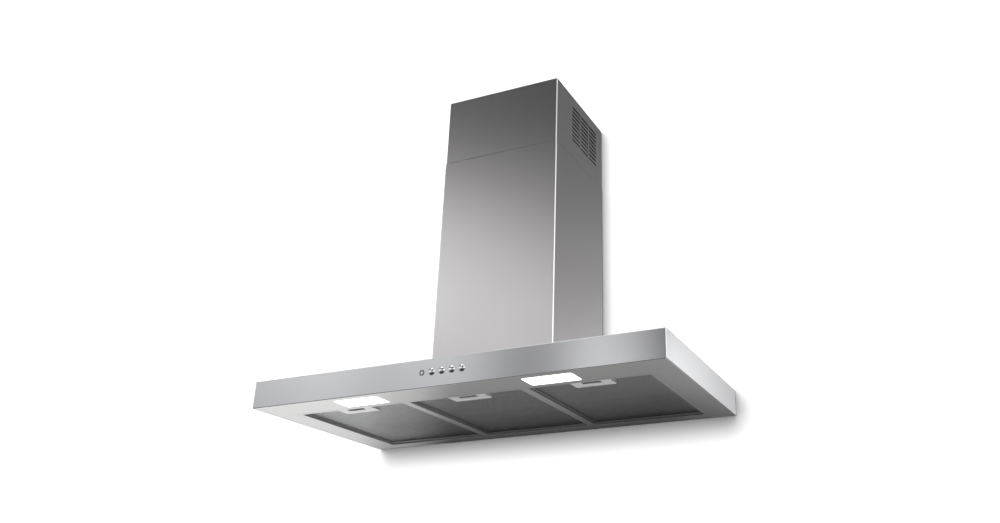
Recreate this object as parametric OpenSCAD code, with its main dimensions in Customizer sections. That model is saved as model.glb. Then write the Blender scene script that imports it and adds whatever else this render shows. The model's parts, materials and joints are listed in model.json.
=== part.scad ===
// Wall-mounted box chimney hood: a flat canopy with three cassette grease filters, two lamps and
// four push buttons, under a two-part telescopic chimney that covers the blower.
// Millimetres. The wall is the plane y = 0, the front faces -Y, and the underside is z = 0.

/* [Canopy] */
// Width of the canopy along the wall
canopy_w = 898; // [880:1:1000]
// Depth of the canopy out from the wall
canopy_d = 450; // [445:1:480]
// Height of the canopy box
canopy_h = 56; // [54:1:70]
// Thickness of the canopy sheet
sheet_t = 1; // [0.8:0.1:1.2]

/* [Chimney] */
// Width of the lower chimney cover
lower_w = 288; // [286:1:300]
// Depth of the lower chimney cover out from the wall
lower_d = 267; // [266:1:280]
// Height of the lower cover's top edge above the underside
lower_top = 596; // [560:1:640]
// Height of the upper cover's top edge above the underside
upper_top = 762; // [750:1:800]
// Length of the upper cover
upper_len = 420; // [400:1:460]
// Thickness of the chimney sheet
skin_t = 0.8; // [0.7:0.1:0.9]

/* [Grille] */
// Rows of slots on each side of the upper cover
slot_rows = 9; // [3:1:9]
// Columns of slots on each side
slot_cols = 3; // [1:1:3]
// Length of one slot
slot_len = 45.6; // [30:0.1:46]
// Height of one slot
slot_h = 5.3; // [3:0.1:6]
// Distance between rows
row_pitch = 10.7; // [8:0.1:11]
// Distance between columns
col_pitch = 49.5; // [48:0.1:52]

/* [Filters] */
// Width of one cassette filter
filter_w = 247; // [240:1:247]
// Thickness of one cassette filter
filter_t = 9; // [8:0.5:10]
// Distance between filter centres
filter_pitch = 265; // [262:1:268]
// Recess of the filters above the underside
filter_recess = 3.5; // [3:0.5:5]
// Width of the handle plate
handle_w = 82; // [70:1:90]
// Depth of the handle plate
handle_d = 40; // [38:1:44]
// Travel of the latch slider
latch_travel = 6; // [4:0.5:6]

/* [Lamps] */
// Width of a lamp lens
lamp_w = 102; // [80:1:110]
// Depth of a lamp lens
lamp_d = 50; // [40:1:52]
// Distance of a lamp from the centre line
lamp_x = 210; // [180:1:240]

/* [Controls] */
// Distance between the controls on the front
control_pitch = 22; // [20:1:24]
// Height of the controls above the underside
control_z = 30; // [28:1:32]
// Radius of a push button
button_r = 6.8; // [5:0.1:6.8]
// Travel of a push button
button_travel = 3; // [2:0.5:3]

/* [Blower] */
// Outer radius of the fan wheel
wheel_r = 84; // [80:1:85]
// Number of blades on the fan wheel
blade_count = 40; // [24:2:44]
// Outer radius of the outlet collar
collar_r = 75; // [70:1:75]
// Length of the collar above its flange
collar_len = 42; // [38:1:50]

/* [Hidden] */
$fn = 48;

// Colours
steel = "#b9bcbd";
bright = "#e4e6e7";
galvanised = "#a7adb0";
mesh_grey = "#7d8584";
handle_grey = "#c9cbca";
dark = "#2c2e30";
lit = "#fdfdf8";
board_green = "#1f6b46";

// Clearances
gap = 0.4;
eps = 1;

// Canopy
half_w = canopy_w / 2;
opening_x = 400;
opening_front = -374;
opening_rear = -24;
skirt_h = 10;
top_z = canopy_h;
roof_z = canopy_h - sheet_t;

// Filters
bay_w = filter_w + 1.5;
bay_front = -365;
bay_rear = -35;
upstand_h = 20;
filter_front = bay_front + 1;
filter_z0 = filter_recess;
filter_z1 = filter_recess + filter_t;
rim_bar = 5;
rim_t = 1;
pivot_y = -40.5;
pivot_z = filter_recess + 4.7;
barrel_r = 5;
pivot_r = 2;
pivot_hole_r = 2.06;

// Handle and latch
handle_y0 = filter_front + 0.2;
handle_y1 = handle_y0 + handle_d;
handle_z0 = filter_z0 - 0.7;
handle_z1 = filter_z1 - 0.2;
grip_x = 20;
grip_y0 = handle_y0 + 8.8;
grip_y1 = grip_y0 + 13;
slide_z0 = handle_z0 + 6.5;
slide_z1 = handle_z1 - 1;
pocket_y1 = handle_y1 - 2.2;
grip_wall = 6;
tongue_x = 9;

// Lamps
lamp_y = opening_front - 8 - lamp_d / 2;
lens_t = 3;
lens_r = 5;
lamp_top = 20;

// Controls
button_x = [-control_pitch, 0, control_pitch, 2 * control_pitch];
indicator_x = -2 * control_pitch;
hole_gap = 0.35;
stem_r = 2.5;
stem_hole_r = 2.9;
dome_h = 2.2;
dome_proud = 2.6;
cap_back = -canopy_d + 3.1;
guide_y = -canopy_d + 8;
board_y = -canopy_d + 22;
switch_y = board_y - 6;
stem_end = board_y - 1.4 - button_travel;
box_x = 62;
box_z0 = control_z - 18;
box_z1 = control_z + 18;

// Chimney
lower_x = lower_w / 2;
upper_gap = 1.2;
upper_x = lower_x - upper_gap;
upper_front = -lower_d + upper_gap;
upper_bottom = upper_top - upper_len;
rear_flange = 11;
upper_rear = -1.4;
notch_h = 12;
notch_d = 4;
grille_y = -108;
grille_z = upper_top - 71.8;
baffle_y = [grille_y - 77, grille_y + 77];
baffle_z = [grille_z - 49, grille_z + 50];
baffle_t = 1.5;
baffle_depth = 22;
baffle_flange = 5;
bracket_z = upper_top - 42;
foot_screw_y = [-190, -170];

// Blower
fan_y = -128;
fan_z = canopy_h + 116;
blower_x = 110;
blower_front = -250;
blower_rear = -8;
blower_top = canopy_h + 264;
scroll_min = wheel_r + 8;
scroll_max = wheel_r + 34;
scroll_x = 76;
scroll_t = 2;
tongue_a = 50;
throat_a = -180;
inlet_r = 68;
collar_y = -150;
collar_z = blower_top + 2;
collar_t = 2;
shaft_r = 4;
motor_x0 = 18;
motor_x1 = 68;
motor_r = 44;
damper_z = collar_z + 12;
damper_half = 3.5;
damper_pin_r = 1.5;
flap_r = collar_r - collar_t - 1;

// Hanging and wiring
hang_x = 122;
hang_z = [canopy_h + 34, canopy_h + 104];
hang_half = 9;
terminal_x = 85;
terminal_y = -32;
terminal_h = 32;
cable_hole_r = 3.6;

// A block from its low corner to its high corner
module block(low, high) {
    translate(low) cube(high - low);
}

// A cylinder along X from x0 to x1 about (y, z)
module rod_x(x0, x1, y, z, r) {
    translate([x0, y, z]) rotate([0, 90, 0]) cylinder(h = x1 - x0, r = r);
}

// A cylinder along Y from y0 to y1 about (x, z)
module rod_y(y0, y1, x, z, r) {
    translate([x, y1, z]) rotate([90, 0, 0]) cylinder(h = y1 - y0, r = r);
}

// A cylinder along Z from z0 to z1 about (x, y)
module rod_z(z0, z1, x, y, r) {
    translate([x, y, z0]) cylinder(h = z1 - z0, r = r);
}

// Points of an arc about c
function arc(c, r, a0, a1, n = 6) =
    [for (i = [0:n]) c + r * [cos(a0 + (a1 - a0) * i / n), sin(a0 + (a1 - a0) * i / n)]];

// Outline of a rectangle w by d with corners of radius r, centred on the origin
function round_rect(w, d, r) = concat(
    arc([w / 2 - r, d / 2 - r], r, 0, 90), arc([r - w / 2, d / 2 - r], r, 90, 180),
    arc([r - w / 2, r - d / 2], r, 180, 270), arc([w / 2 - r, r - d / 2], r, 270, 360));

// Folded shell: top, front and two ends, open below and behind, with holes for the controls
module canopy_shell() {
    color(steel) difference() {
        block([-half_w, -canopy_d, 0], [half_w, -sheet_t - 0.2, canopy_h]);
        block([-half_w + sheet_t, -canopy_d + sheet_t, -eps], [half_w - sheet_t, eps, roof_z]);
        block([-blower_x + 4, blower_front + 4, roof_z - eps],
            [blower_x - 4, blower_rear - 4, canopy_h + eps]);
        for (x = button_x)
            rod_y(-canopy_d - eps, -canopy_d + sheet_t + eps, x, control_z, button_r + hole_gap);
        rod_y(-canopy_d - eps, -canopy_d + sheet_t + eps, indicator_x, control_z, 5);
    }
}

// Underside sheet with a short turned-up skirt, the filter opening and two lamp cut-outs
module bottom_panel() {
    outer_x = half_w - sheet_t - gap;
    outer_y = [-canopy_d + sheet_t + gap, -sheet_t - gap];
    color(steel) difference() {
        block([-outer_x, outer_y[0], 0], [outer_x, outer_y[1], skirt_h]);
        block([-outer_x + sheet_t, outer_y[0] + sheet_t, sheet_t],
            [outer_x - sheet_t, outer_y[1] - sheet_t, skirt_h + eps]);
        block([-opening_x, opening_front, -eps], [opening_x, opening_rear, 2 * eps]);
        for (side = [-1, 1])
            translate([side * lamp_x, lamp_y, -eps]) linear_extrude(3 * eps)
                polygon(round_rect(lamp_w + 1, lamp_d + 1, lens_r + 0.5));
    }
}

// Flat plate that closes the canopy against the wall
module rear_panel() {
    edge = sheet_t + 0.5;
    color(galvanised) block([-half_w + edge, -sheet_t, 0], [half_w - edge, 0, canopy_h - edge]);
}

// Ledge plate with two dividers, and an upstand round each filter bay with pivot holes
module filter_frame() {
    color(steel) difference() {
        union() {
            block([-opening_x + gap, opening_front + gap, 0],
                [opening_x - gap, opening_rear - gap, 1.2]);
            for (i = [-1:1])
                block([i * filter_pitch - bay_w / 2 - 1, bay_front - 1, 0],
                    [i * filter_pitch + bay_w / 2 + 1, bay_rear + 1, upstand_h]);
        }
        for (i = [-1:1]) {
            block([i * filter_pitch - bay_w / 2, bay_front, -eps],
                [i * filter_pitch + bay_w / 2, bay_rear, upstand_h + eps]);
            rod_x(i * filter_pitch - bay_w / 2 - 2, i * filter_pitch + bay_w / 2 + 2,
                pivot_y, pivot_z, pivot_hole_r);
        }
    }
}

// Angle bracket that hangs the hood on two wall screws, on one side of the blower
module hang_bracket(side) {
    color(galvanised) difference() {
        union() {
            block([side * hang_x - hang_half, -2, top_z],
                [side * hang_x + hang_half, 0, hang_z[1] + 14]);
            block([side * hang_x - hang_half, -34, top_z], [side * hang_x + hang_half, 0, top_z + 2]);
        }
        for (z = hang_z) rod_y(-3, 1, side * hang_x, z, 4);
    }
}

// U-shaped cover with a small notch at each front corner of its top, and flanges on the wall
module lower_chimney() {
    color(steel) difference() {
        block([-lower_x, -lower_d, top_z], [lower_x, 0, lower_top]);
        block([-lower_x + skin_t, -lower_d + skin_t, top_z - eps],
            [lower_x - skin_t, -skin_t, lower_top + eps]);
        block([-lower_x + rear_flange, -2 * eps, top_z - eps],
            [lower_x - rear_flange, eps, lower_top + eps]);
        for (m = [0, 1]) mirror([m, 0, 0])
            block([upper_x, -lower_d - eps, lower_top - notch_h],
                [lower_x + eps, -lower_d + notch_d, lower_top + eps]);
    }
}

// Two angle brackets on the canopy roof that hold the foot of the lower cover
module chimney_feet() {
    inner_x = lower_x - skin_t;
    color(galvanised) for (m = [0, 1]) mirror([m, 0, 0]) difference() {
        union() {
            block([inner_x - 22, -200, top_z], [inner_x, -160, top_z + 1.2]);
            block([inner_x - 1.2, -200, top_z], [inner_x, -160, top_z + 26]);
        }
        for (y = foot_screw_y) rod_z(top_z - eps, top_z + 2, inner_x - 12, y, 2);
    }
}

// U-shaped cover that slides inside the lower one, with a slotted grille on each side
module upper_chimney() {
    color(steel) difference() {
        block([-upper_x, upper_front, upper_bottom], [upper_x, upper_rear, upper_top]);
        block([-upper_x + skin_t, upper_front + skin_t, upper_bottom - eps],
            [upper_x - skin_t, upper_rear - skin_t, upper_top + eps]);
        block([-upper_x + rear_flange, upper_rear - 2 * eps, upper_bottom - eps],
            [upper_x - rear_flange, eps, upper_top + eps]);
        for (row = [0:slot_rows - 1], col = [0:slot_cols - 1]) {
            y = grille_y + (col - (slot_cols - 1) / 2) * col_pitch;
            z = grille_z + (row - (slot_rows - 1) / 2) * row_pitch;
            translate([0, y, z]) cube([3 * upper_x, slot_len, slot_h], center = true);
        }
    }
}

// Strap on the wall that holds the upper cover by its two sides
module upper_bracket() {
    wall_x = 118;
    tab_x = upper_x - skin_t - 0.2;
    web = [-4.4, -3.2];
    half_h = 20;
    color(galvanised) difference() {
        union() {
            block([-wall_x, -2, bracket_z - half_h], [wall_x, 0, bracket_z + half_h]);
            for (m = [0, 1]) mirror([m, 0, 0]) {
                block([wall_x - 10, web[0], bracket_z - half_h], [wall_x, -1, bracket_z + half_h]);
                block([wall_x - 10, web[0], bracket_z - 16], [tab_x, web[1], bracket_z + 16]);
                block([tab_x - 1.2, -20, bracket_z - 16], [tab_x, web[1], bracket_z + 16]);
            }
        }
        for (x = [-80, 80]) rod_y(-3, 1, x, bracket_z, 3.25);
        rod_x(-tab_x - 2, tab_x + 2, -12, bracket_z, 1.6);
    }
}

// Two pins that clip the upper cover to its strap from inside
module upper_screws() {
    tab_x = upper_x - skin_t - 0.2;
    color(bright) for (m = [0, 1]) mirror([m, 0, 0]) {
        rod_x(tab_x - 1.2, tab_x, -12, bracket_z, 1.6);
        rod_x(tab_x - 3.4, tab_x - 1.2, -12, bracket_z, 3.2);
    }
}

// Tray behind one grille, open below: recirculated air rises into it and leaves by the slots,
// and the inside of the cover is not seen through them
module grille_baffle(side) {
    face_x = upper_x - skin_t - 0.2;
    deep_x = face_x - baffle_depth;
    t = baffle_t;
    f = baffle_flange;
    color(dark) mirror([side < 0 ? 1 : 0, 0, 0]) difference() {
        union() {
            block([deep_x, baffle_y[0] - t, baffle_z[0]], [face_x, baffle_y[1] + t, baffle_z[1] + t]);
            block([face_x - t, baffle_y[0] - f, baffle_z[0]], [face_x, baffle_y[1] + f, baffle_z[1] + f]);
        }
        block([deep_x + t, baffle_y[0], baffle_z[0] - eps], [face_x + eps, baffle_y[1], baffle_z[1]]);
    }
}

// Space that the handle takes out of the rim and the mesh, grown by a clearance
module handle_space(c, clear) {
    block([c - handle_w / 2 - clear, filter_front - eps, filter_z0 - eps],
        [c + handle_w / 2 + clear, handle_y1 + clear, filter_z1 + eps]);
}

// Folded channel round the mesh, with a round rear edge and two pivot pins
module filter_rim(i) {
    c = i * filter_pitch;
    x = filter_w / 2;
    color(bright) difference() {
        union() {
            block([c - x, filter_front, filter_z0], [c + x, pivot_y, filter_z1]);
            rod_x(c - x + 0.5, c + x - 0.5, pivot_y, pivot_z, barrel_r);
            rod_x(c - x - 3, c + x + 3, pivot_y, pivot_z, pivot_r);
        }
        block([c - x + rim_bar, filter_front + rim_bar, filter_z0 - eps],
            [c + x - rim_bar, pivot_y - barrel_r - 2, filter_z1 + eps]);
        block([c - x + rim_t, filter_front + rim_t, filter_z0 + rim_t],
            [c + x - rim_t, pivot_y - barrel_r - 1, filter_z1 - rim_t]);
        handle_space(c, 0.3);
    }
}

// Pack of expanded mesh: two outer layers held apart by folded strips
module filter_mesh(i) {
    c = i * filter_pitch;
    x = filter_w / 2 - rim_t - 0.2;
    y0 = filter_front + rim_t + 0.2;
    y1 = pivot_y - barrel_r - 1.2;
    z0 = filter_z0 + rim_t + 0.1;
    z1 = filter_z1 - rim_t - 0.1;
    layer = 0.5;
    strips = 6;
    color(mesh_grey) difference() {
        union() {
            block([c - x, y0, z0], [c + x, y1, z0 + layer]);
            block([c - x, y0, z1 - layer], [c + x, y1, z1]);
            for (k = [0:strips]) {
                y = handle_y1 + 3 + (y1 - handle_y1 - 5) * k / strips;
                block([c - x, y, z0], [c + x, y + layer, z1]);
            }
        }
        handle_space(c, 0.6);
    }
}

// Handle plate with a finger grip, hollow above it for the latch slider
module filter_handle(i) {
    c = i * filter_pitch;
    color(handle_grey) difference() {
        block([c - handle_w / 2, handle_y0, handle_z0], [c + handle_w / 2, handle_y1, handle_z1]);
        block([c - grip_x, grip_y0, handle_z0 - eps], [c + grip_x, grip_y1, slide_z1 + 0.3]);
        block([c - grip_x, grip_y1 - eps, handle_z0 + 1.4], [c + grip_x, pocket_y1, slide_z1 + 0.3]);
        block([c - grip_x, handle_y0 + 1.6, slide_z0 - 0.3], [c + grip_x, grip_y0 + eps, slide_z1 + 0.3]);
        block([c - tongue_x - gap, handle_y0 - eps, slide_z0 - 0.3],
            [c + tongue_x + gap, handle_y0 + 2, slide_z1 + 0.3]);
    }
}

// Slider: the grip's floor and rear wall, with a tongue that reaches out over the frame's edge
module latch_slider(i) {
    c = i * filter_pitch;
    x = grip_x - gap;
    color(handle_grey) union() {
        block([c - x, handle_y0 + 2, slide_z0], [c + x, grip_y1 + grip_wall, slide_z1]);
        block([c - x, grip_y1, handle_z0 + 1.8], [c + x, grip_y1 + grip_wall, slide_z1]);
        block([c - tongue_x, bay_front + 0.5, slide_z0], [c + tongue_x, handle_y0 + 3, slide_z1]);
    }
}

// Compression spring between the slider and the end of its pocket, as a plain sleeve
module latch_spring(i) {
    y0 = grip_y1 + grip_wall + 0.3;
    y1 = pocket_y1 - 0.3;
    z = (handle_z0 + 1.8 + slide_z1) / 2;
    color(bright) difference() {
        rod_y(y0, y1, i * filter_pitch, z, 2.6);
        rod_y(y0 - eps, y1 + eps, i * filter_pitch, z, 1.8);
    }
}

// Flat lens, flush with the underside
module lamp_lens(side) {
    color(lit) translate([side * lamp_x, lamp_y, 0]) linear_extrude(lens_t)
        polygon(round_rect(lamp_w, lamp_d, lens_r));
}

// Tray above the lens, open below, with a flange that rests on the underside sheet
module lamp_housing(side) {
    color(bright) translate([side * lamp_x, lamp_y, 0]) difference() {
        union() {
            translate([0, 0, sheet_t + 0.2]) linear_extrude(2)
                polygon(round_rect(lamp_w + 22, lamp_d + 14, 8));
            translate([0, 0, sheet_t + 0.2]) linear_extrude(lamp_top - sheet_t)
                polygon(round_rect(lamp_w + 10, lamp_d + 10, 7));
        }
        translate([0, 0, -eps]) linear_extrude(lamp_top - 0.6)
            polygon(round_rect(lamp_w + 1, lamp_d + 1, lens_r + 0.5));
    }
}

// Aluminium board with a row of light-emitting diodes under it
module led_board(side) {
    leds = 8;
    color(board_green) translate([side * lamp_x, lamp_y, 0]) union() {
        block([-lamp_w / 2 + 3, -lamp_d / 2 + 5, lamp_top - 3.4],
            [lamp_w / 2 - 3, lamp_d / 2 - 5, lamp_top - 1.8]);
        for (k = [0:leds - 1])
            translate([(k - (leds - 1) / 2) * 11.5, 0, lamp_top - 3.8])
                cube([3.5, 3.5, 1], center = true);
    }
}

// Power supply for the lamps, fixed under the canopy roof
module led_driver() {
    color(dark) difference() {
        block([-190, -canopy_d + 12, roof_z - 26], [-90, -canopy_d + 52, roof_z]);
        for (x = [-184, -96]) rod_z(roof_z - 30, roof_z + eps, x, -canopy_d + 32, 2.2);
    }
}

// Open-backed housing on four posts behind the front, with a guide hole for each stem
module control_housing() {
    wall = 1.5;
    color(dark) difference() {
        union() {
            block([-box_x, guide_y, box_z0], [box_x, board_y + 4, box_z1]);
            for (x = [-box_x + 4, box_x - 4], z = [box_z0 + 4, box_z1 - 4])
                rod_y(-canopy_d + sheet_t, guide_y + eps, x, z, 3);
        }
        block([-box_x + wall, guide_y + wall, box_z0 + wall],
            [box_x - wall, board_y + 5, box_z1 - wall]);
        for (x = button_x) rod_y(guide_y - eps, guide_y + 3, x, control_z, stem_hole_r);
        rod_y(guide_y - eps, guide_y + 3, indicator_x, control_z, 3);
    }
}

// Circuit board with a hollow-centred switch behind each button and a diode for the indicator
module control_board() {
    color(board_green) difference() {
        union() {
            block([-box_x + 2, board_y, box_z0 + 2], [box_x - 2, board_y + 1.6, box_z1 - 2]);
            for (x = button_x) block([x - 5, switch_y, control_z - 5], [x + 5, board_y, control_z + 5]);
            rod_y(board_y - 5, board_y, indicator_x, control_z, 2.4);
        }
        for (x = button_x) rod_y(switch_y - eps, board_y - 1, x, control_z, stem_hole_r);
    }
}

// Chrome ring round the indicator
module indicator_ring() {
    color(bright) difference() {
        union() {
            rod_y(-canopy_d - 0.8, -canopy_d, indicator_x, control_z, 5.6);
            rod_y(-canopy_d, -canopy_d + 3, indicator_x, control_z, 4.9);
        }
        rod_y(-canopy_d - eps, -canopy_d + 4, indicator_x, control_z, 3.4);
    }
}

// Small diffuser in the ring
module indicator_lens() {
    color("#d8dcda") rod_y(-canopy_d - 0.4, -canopy_d + 3, indicator_x, control_z, 3.3);
}

// Domed push button with a stem that works its switch
module push_button(n) {
    x = button_x[n];
    dome_r = (button_r * button_r + dome_h * dome_h) / (2 * dome_h);
    front = -canopy_d - dome_proud;
    color(bright) union() {
        intersection() {
            rod_y(front - eps, cap_back, x, control_z, button_r);
            union() {
                translate([x, front + dome_r, control_z]) sphere(r = dome_r, $fn = 96);
                block([x - 2 * button_r, front + dome_h + 1, control_z - 2 * button_r],
                    [x + 2 * button_r, cap_back, control_z + 2 * button_r]);
            }
        }
        rod_y(cap_back - eps, stem_end, x, control_z, stem_r);
    }
}

// Sheet box over the roof opening that seals the blower, with the outlet hole on top
module blower_box() {
    t = sheet_t;
    color(galvanised) difference() {
        union() {
            block([-blower_x, blower_front, top_z], [blower_x, blower_rear, blower_top]);
            block([-blower_x, blower_front - 10, top_z], [blower_x, blower_rear + 6, top_z + t]);
        }
        block([-blower_x + t, blower_front + t, top_z - eps],
            [blower_x - t, blower_rear - t, blower_top - t]);
        rod_z(blower_top - 2, blower_top + eps, 0, collar_y, collar_r - collar_t);
        rod_z(blower_top - 2, blower_top + eps, terminal_x, terminal_y, 5);
    }
}

// Side outline of the scroll in (y, z), grown by t: a spiral, then a straight outlet upwards
function scroll_radius(a) =
    scroll_min + (scroll_max - scroll_min) * (tongue_a - a) / (tongue_a - throat_a);
function scroll_outline(t, top) = concat(
    [for (a = [tongue_a:-10:throat_a])
        [fan_y, fan_z] + (scroll_radius(a) + t) * [cos(a), sin(a)]],
    [[fan_y - scroll_max - t, top], [fan_y + (scroll_min + t) * cos(tongue_a), top]]);

// Extrude a (y, z) outline along X from x0 to x1
module along_x(x0, x1) {
    translate([x0, 0, 0]) rotate([90, 0, 90]) linear_extrude(x1 - x0) children();
}

// Right half of the scroll: a side wall with a belled inlet, and the spiral wall
module scroll_half() {
    difference() {
        union() {
            along_x(0, scroll_x) polygon(scroll_outline(scroll_t, blower_top - sheet_t));
            rod_x(scroll_x, scroll_x + 6, fan_y, fan_z, inlet_r + 4);
        }
        along_x(-eps, scroll_x - scroll_t) polygon(scroll_outline(0, blower_top + eps));
        rod_x(0, scroll_x + 7, fan_y, fan_z, inlet_r);
    }
}
module scroll_right() {
    color(dark) scroll_half();
}
module scroll_left() {
    color(dark) mirror([1, 0, 0]) scroll_half();
}

// Double-inlet wheel: a centre disc and hub, two end rings, and forward-leaning blades
module fan_wheel() {
    half = 60;
    blade_in = inlet_r + 2;
    color(dark) difference() {
        union() {
            rod_x(-1, 1, fan_y, fan_z, wheel_r);
            rod_x(-10, 12, fan_y, fan_z, 12);
            for (x = [-half, half - 2]) difference() {
                rod_x(x, x + 2, fan_y, fan_z, wheel_r);
                rod_x(x - 1, x + 3, fan_y, fan_z, blade_in);
            }
            for (k = [0:blade_count - 1])
                translate([0, fan_y, fan_z]) rotate([360 * k / blade_count, 0, 0])
                    translate([0, 0, (blade_in + wheel_r) / 2]) rotate([20, 0, 0])
                        cube([2 * half - 1, 1.2, wheel_r - blade_in - 2], center = true);
        }
        rod_x(-11, 13, fan_y, fan_z, shaft_r);
    }
}

// Steel shaft of the motor, fixed in the wheel's hub
module motor_shaft() {
    color(bright) rod_x(-12, motor_x1 - 2, fan_y, fan_z, shaft_r);
}

// Motor body inside the wheel, with a running bore for the shaft
module motor() {
    color(galvanised) difference() {
        union() {
            rod_x(motor_x0 + 6, motor_x1 - 8, fan_y, fan_z, motor_r);
            rod_x(motor_x0, motor_x1, fan_y, fan_z, motor_r - 12);
        }
        rod_x(motor_x0 - eps, motor_x1 + eps, fan_y, fan_z, shaft_r + 0.05);
    }
}

// Ring and three arms that carry the motor from the right-hand inlet
module motor_bracket() {
    x0 = scroll_x + 6;
    color(galvanised) difference() {
        union() {
            difference() {
                rod_x(x0, x0 + 2, fan_y, fan_z, inlet_r + 10);
                rod_x(x0 - eps, x0 + 3, fan_y, fan_z, inlet_r);
            }
            for (k = [0:2]) translate([x0, fan_y, fan_z]) rotate([120 * k, 0, 0])
                block([0.3, -6, 12], [1.7, 6, inlet_r + 4]);
            rod_x(motor_x1, x0 + 2, fan_y, fan_z, 18);
        }
        rod_x(motor_x1 - eps, x0 + 3, fan_y, fan_z, shaft_r + 2);
    }
}

// Run capacitor standing on the blower box
module capacitor() {
    color("#d9dadb") union() {
        rod_z(blower_top, blower_top + 44, -86, -226, 14);
        rod_z(blower_top + 44, blower_top + 49, -86, -226, 4);
    }
}

// Flanged collar for the duct, with a ledge inside that the damper flaps close on
module outlet_collar() {
    color(dark) difference() {
        union() {
            rod_z(blower_top, collar_z, 0, collar_y, collar_r + 13);
            rod_z(blower_top, collar_z + collar_len, 0, collar_y, collar_r);
        }
        rod_z(damper_z - 1, collar_z + collar_len + eps, 0, collar_y, collar_r - collar_t);
        rod_z(blower_top - eps, damper_z, 0, collar_y, collar_r - collar_t - 4);
        for (y = [-damper_half, damper_half])
            rod_x(-collar_r - 2, collar_r + 2, collar_y + y, damper_z, damper_pin_r);
    }
}

// Two thin rods across the collar that the flaps turn on
module damper_pins() {
    reach = collar_r - 0.6;
    color(bright) for (y = [-damper_half, damper_half])
        rod_x(-reach, reach, collar_y + y, damper_z, damper_pin_r);
}

// Half-round flap that lifts in the air stream: 1 is the rear one, -1 the front one
module damper_flap(side) {
    half = flap_r - 5;
    y = collar_y + side * damper_half;
    color(dark) difference() {
        union() {
            intersection() {
                rod_z(damper_z - 0.6, damper_z + 0.6, 0, collar_y, flap_r);
                translate([0, y + side * collar_r, damper_z])
                    cube([2 * collar_r, 2 * collar_r, 4], center = true);
            }
            rod_x(-half, half, y, damper_z, 2.8);
        }
        rod_x(-half - 10, half + 10, y, damper_z, damper_pin_r + 0.06);
    }
}

// Terminal box for the supply cable, on the blower box
module junction_box() {
    x = 19;
    y = 20;
    color(dark) difference() {
        block([terminal_x - x, terminal_y - y, blower_top],
            [terminal_x + x, terminal_y + y, blower_top + terminal_h]);
        block([terminal_x - x + 2, terminal_y - y + 2, blower_top - eps],
            [terminal_x + x - 2, terminal_y + y - 2, blower_top + terminal_h - 2]);
        rod_z(blower_top + terminal_h - 3, blower_top + terminal_h + eps,
            terminal_x, terminal_y, cable_hole_r + 0.8);
    }
}

// Gland that grips a 7 mm supply cable
module cable_gland() {
    z0 = blower_top + terminal_h;
    color(dark) difference() {
        union() {
            translate([terminal_x, terminal_y, z0]) cylinder(h = 5, r = 9, $fn = 6);
            rod_z(z0, z0 + 14, terminal_x, terminal_y, 7);
        }
        rod_z(z0 - eps, z0 + 15, terminal_x, terminal_y, cable_hole_r);
    }
}

// Hexagon-headed screws along the blower box's front flange
module blower_screws() {
    color(bright) for (x = [-90, -30, 30, 90]) {
        translate([x, blower_front - 5, top_z + sheet_t]) cylinder(h = 2.4, r = 3.6, $fn = 6);
    }
}

// Pan-headed screws that hold the chimney feet to the roof
module foot_screws() {
    x = lower_x - skin_t - 12;
    color(bright) for (side = [-1, 1], y = foot_screw_y) {
        rod_z(top_z, top_z + 1.2, side * x, y, 2);
        rod_z(top_z + 1.2, top_z + 3.4, side * x, y, 3.8);
    }
}

canopy_shell();
bottom_panel();
rear_panel();
filter_frame();
hang_bracket(-1);  // hang_bracket_left
hang_bracket(1);  // hang_bracket_right
lower_chimney();
chimney_feet();
upper_chimney();
upper_bracket();
upper_screws();
grille_baffle(-1);  // grille_baffle_left
grille_baffle(1);  // grille_baffle_right
filter_rim(-1);  // filter_rim_left
filter_rim(0);  // filter_rim_middle
filter_rim(1);  // filter_rim_right
filter_mesh(-1);  // filter_mesh_left
filter_mesh(0);  // filter_mesh_middle
filter_mesh(1);  // filter_mesh_right
filter_handle(-1);  // filter_handle_left
filter_handle(0);  // filter_handle_middle
filter_handle(1);  // filter_handle_right
latch_slider(-1);  // latch_slider_left
latch_slider(0);  // latch_slider_middle
latch_slider(1);  // latch_slider_right
latch_spring(-1);  // latch_spring_left
latch_spring(0);  // latch_spring_middle
latch_spring(1);  // latch_spring_right
lamp_lens(-1);  // lamp_lens_left
lamp_lens(1);  // lamp_lens_right
lamp_housing(-1);  // lamp_housing_left
lamp_housing(1);  // lamp_housing_right
led_board(-1);  // led_board_left
led_board(1);  // led_board_right
led_driver();
control_housing();
control_board();
indicator_ring();
indicator_lens();
push_button(0);  // button_light
push_button(1);  // button_low
push_button(2);  // button_medium
push_button(3);  // button_high
blower_box();
scroll_left();
scroll_right();
fan_wheel();
motor_shaft();
motor();
motor_bracket();
capacitor();
outlet_collar();
damper_pins();
damper_flap(-1);  // damper_flap_front
damper_flap(1);  // damper_flap_rear
junction_box();
cable_gland();
blower_screws();
foot_screws();
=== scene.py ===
# Wall-mounted box chimney hood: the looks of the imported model.
# The frame is the CAD model's: metres, wall at y = 0, front towards -Y, underside at z = 0.
import json
import math

import bmesh
import bpy
from mathutils import Matrix, Vector
from mathutils.geometry import delaunay_2d_cdt, intersect_point_line

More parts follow.
